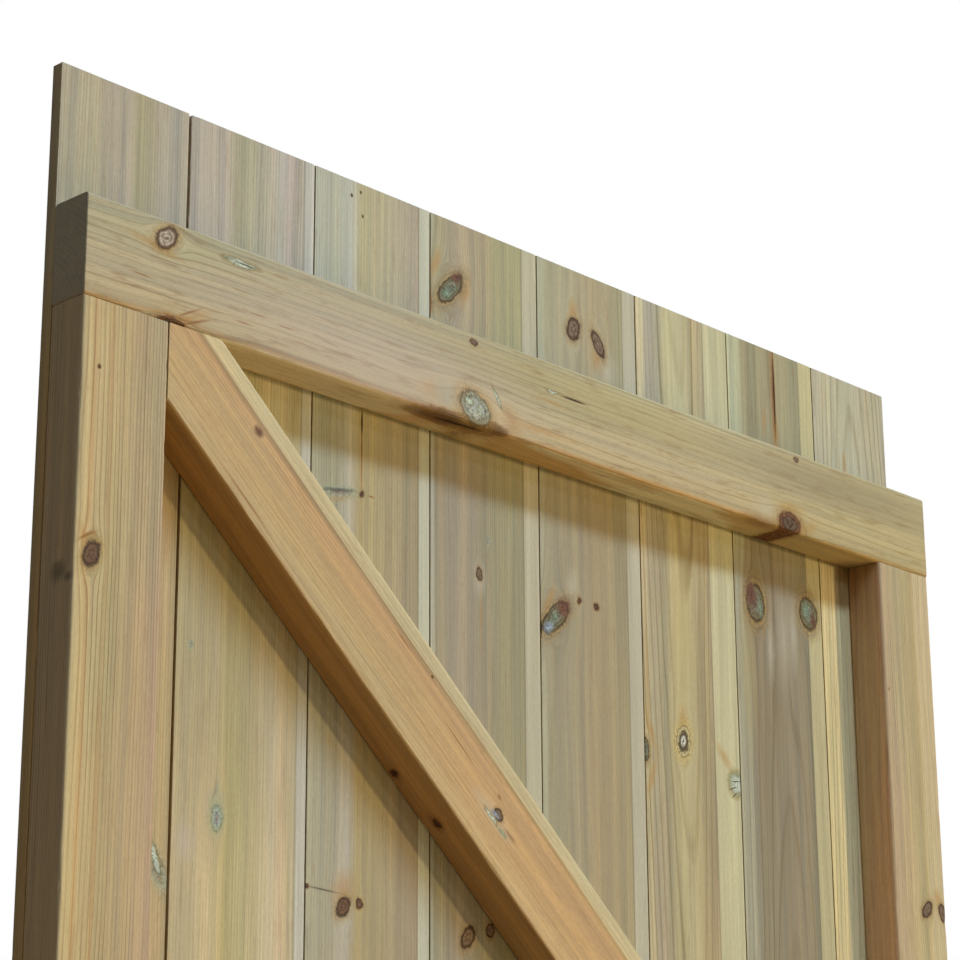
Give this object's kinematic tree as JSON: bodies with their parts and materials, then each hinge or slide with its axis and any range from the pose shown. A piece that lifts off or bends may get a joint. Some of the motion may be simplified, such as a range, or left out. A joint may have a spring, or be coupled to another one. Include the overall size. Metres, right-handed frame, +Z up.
{
  "type": "wooden garden gate leaf",
  "caption": "Framed, ledged and braced garden gate leaf with vertical tongue-and-groove boards on one side, for hanging by its right-hand edge.",
  "frame": {"origin": "centre of the hanging edge: the flat outer face of the hanging stile, at mid height and mid thickness of the frame", "axes": "+X out of the hanging edge towards its post, +Y out of the boarded side, +Z up"},
  "size_m": [0.915, 0.0453, 1.8],
  "materials": {
    "rail_timber": "planed, pressure treated",
    "stile_timber": "planed, pressure treated",
    "brace_timber": "planed, pressure treated",
    "boards": "planed, pressure treated",
    "nails": "galvanised"
  },
  "bodies": {
    "root": {"top_rail": "rail_timber", "middle_rail": "rail_timber", "bottom_rail": "rail_timber", "lock_stile": "stile_timber", "hanging_stile": "stile_timber", "upper_brace": "brace_timber", "lower_brace": "brace_timber", "board_1": "boards", "board_2": "boards", "board_3": "boards", "board_4": "boards", "board_5": "boards", "board_6": "boards", "board_7": "boards", "board_8": "boards", "nails_top_rail": "nails", "nails_middle_rail": "nails", "nails_bottom_rail": "nails", "nails_lock_stile": "nails", "nails_hanging_stile": "nails", "nails_upper_brace": "nails", "nails_lower_brace": "nails"}
  },
  "joints": []
}
